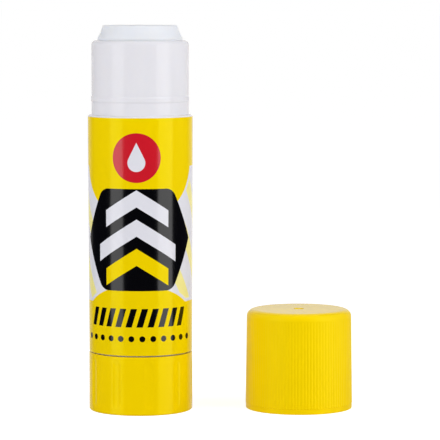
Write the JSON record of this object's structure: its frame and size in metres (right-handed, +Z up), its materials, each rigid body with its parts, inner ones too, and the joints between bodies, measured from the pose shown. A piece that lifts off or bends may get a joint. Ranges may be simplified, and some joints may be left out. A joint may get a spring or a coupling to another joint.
{
  "type": "glue stick",
  "caption": "Open twist-up glue stick: turning the fluted base drives a screw that raises the glue; a finely ribbed push-on cap stands beside it.",
  "frame": {"origin": "middle of the base that the stick stands on", "axes": "+Z up along the stick, +X towards the side that the cap stands on, -Y towards the front of the label"},
  "size_m": [0.0663, 0.0287, 0.0962],
  "materials": {
    "white_plastic": "semi-gloss moulded white polypropylene",
    "yellow_plastic": "semi-gloss moulded yellow polypropylene",
    "printed_film": "glossy printed wrap-round film",
    "glue_paste": "waxy bluish-white solid glue"
  },
  "bodies": {
    "barrel": {"barrel": "white_plastic", "label": "printed_film"},
    "knob": {"twist_knob": "yellow_plastic", "spindle": "white_plastic"},
    "carrier": {"carrier": "white_plastic", "glue": "glue_paste"},
    "cap": {"cap": "yellow_plastic"}
  },
  "joints": [
    {"name": "knob_turn", "type": "hinge", "parent": "barrel", "child": "knob", "pos_m": [0, 0, 0.0146], "axis": [0, 0, 1], "range_deg": [0, 4140]},
    {"name": "glue_feed", "type": "slide", "parent": "barrel", "child": "carrier", "axis": [0, 0, 1], "range_m": [0, 0.05175]},
    {"name": "cap_lift", "type": "slide", "parent": "barrel", "child": "cap", "axis": [0, 0, 1], "range_m": [0, 0.1]}
  ],
  "couplings": [
    {"joint": "knob_turn", "follows": "glue_feed", "rad_per_m": 1396.3}
  ]
}
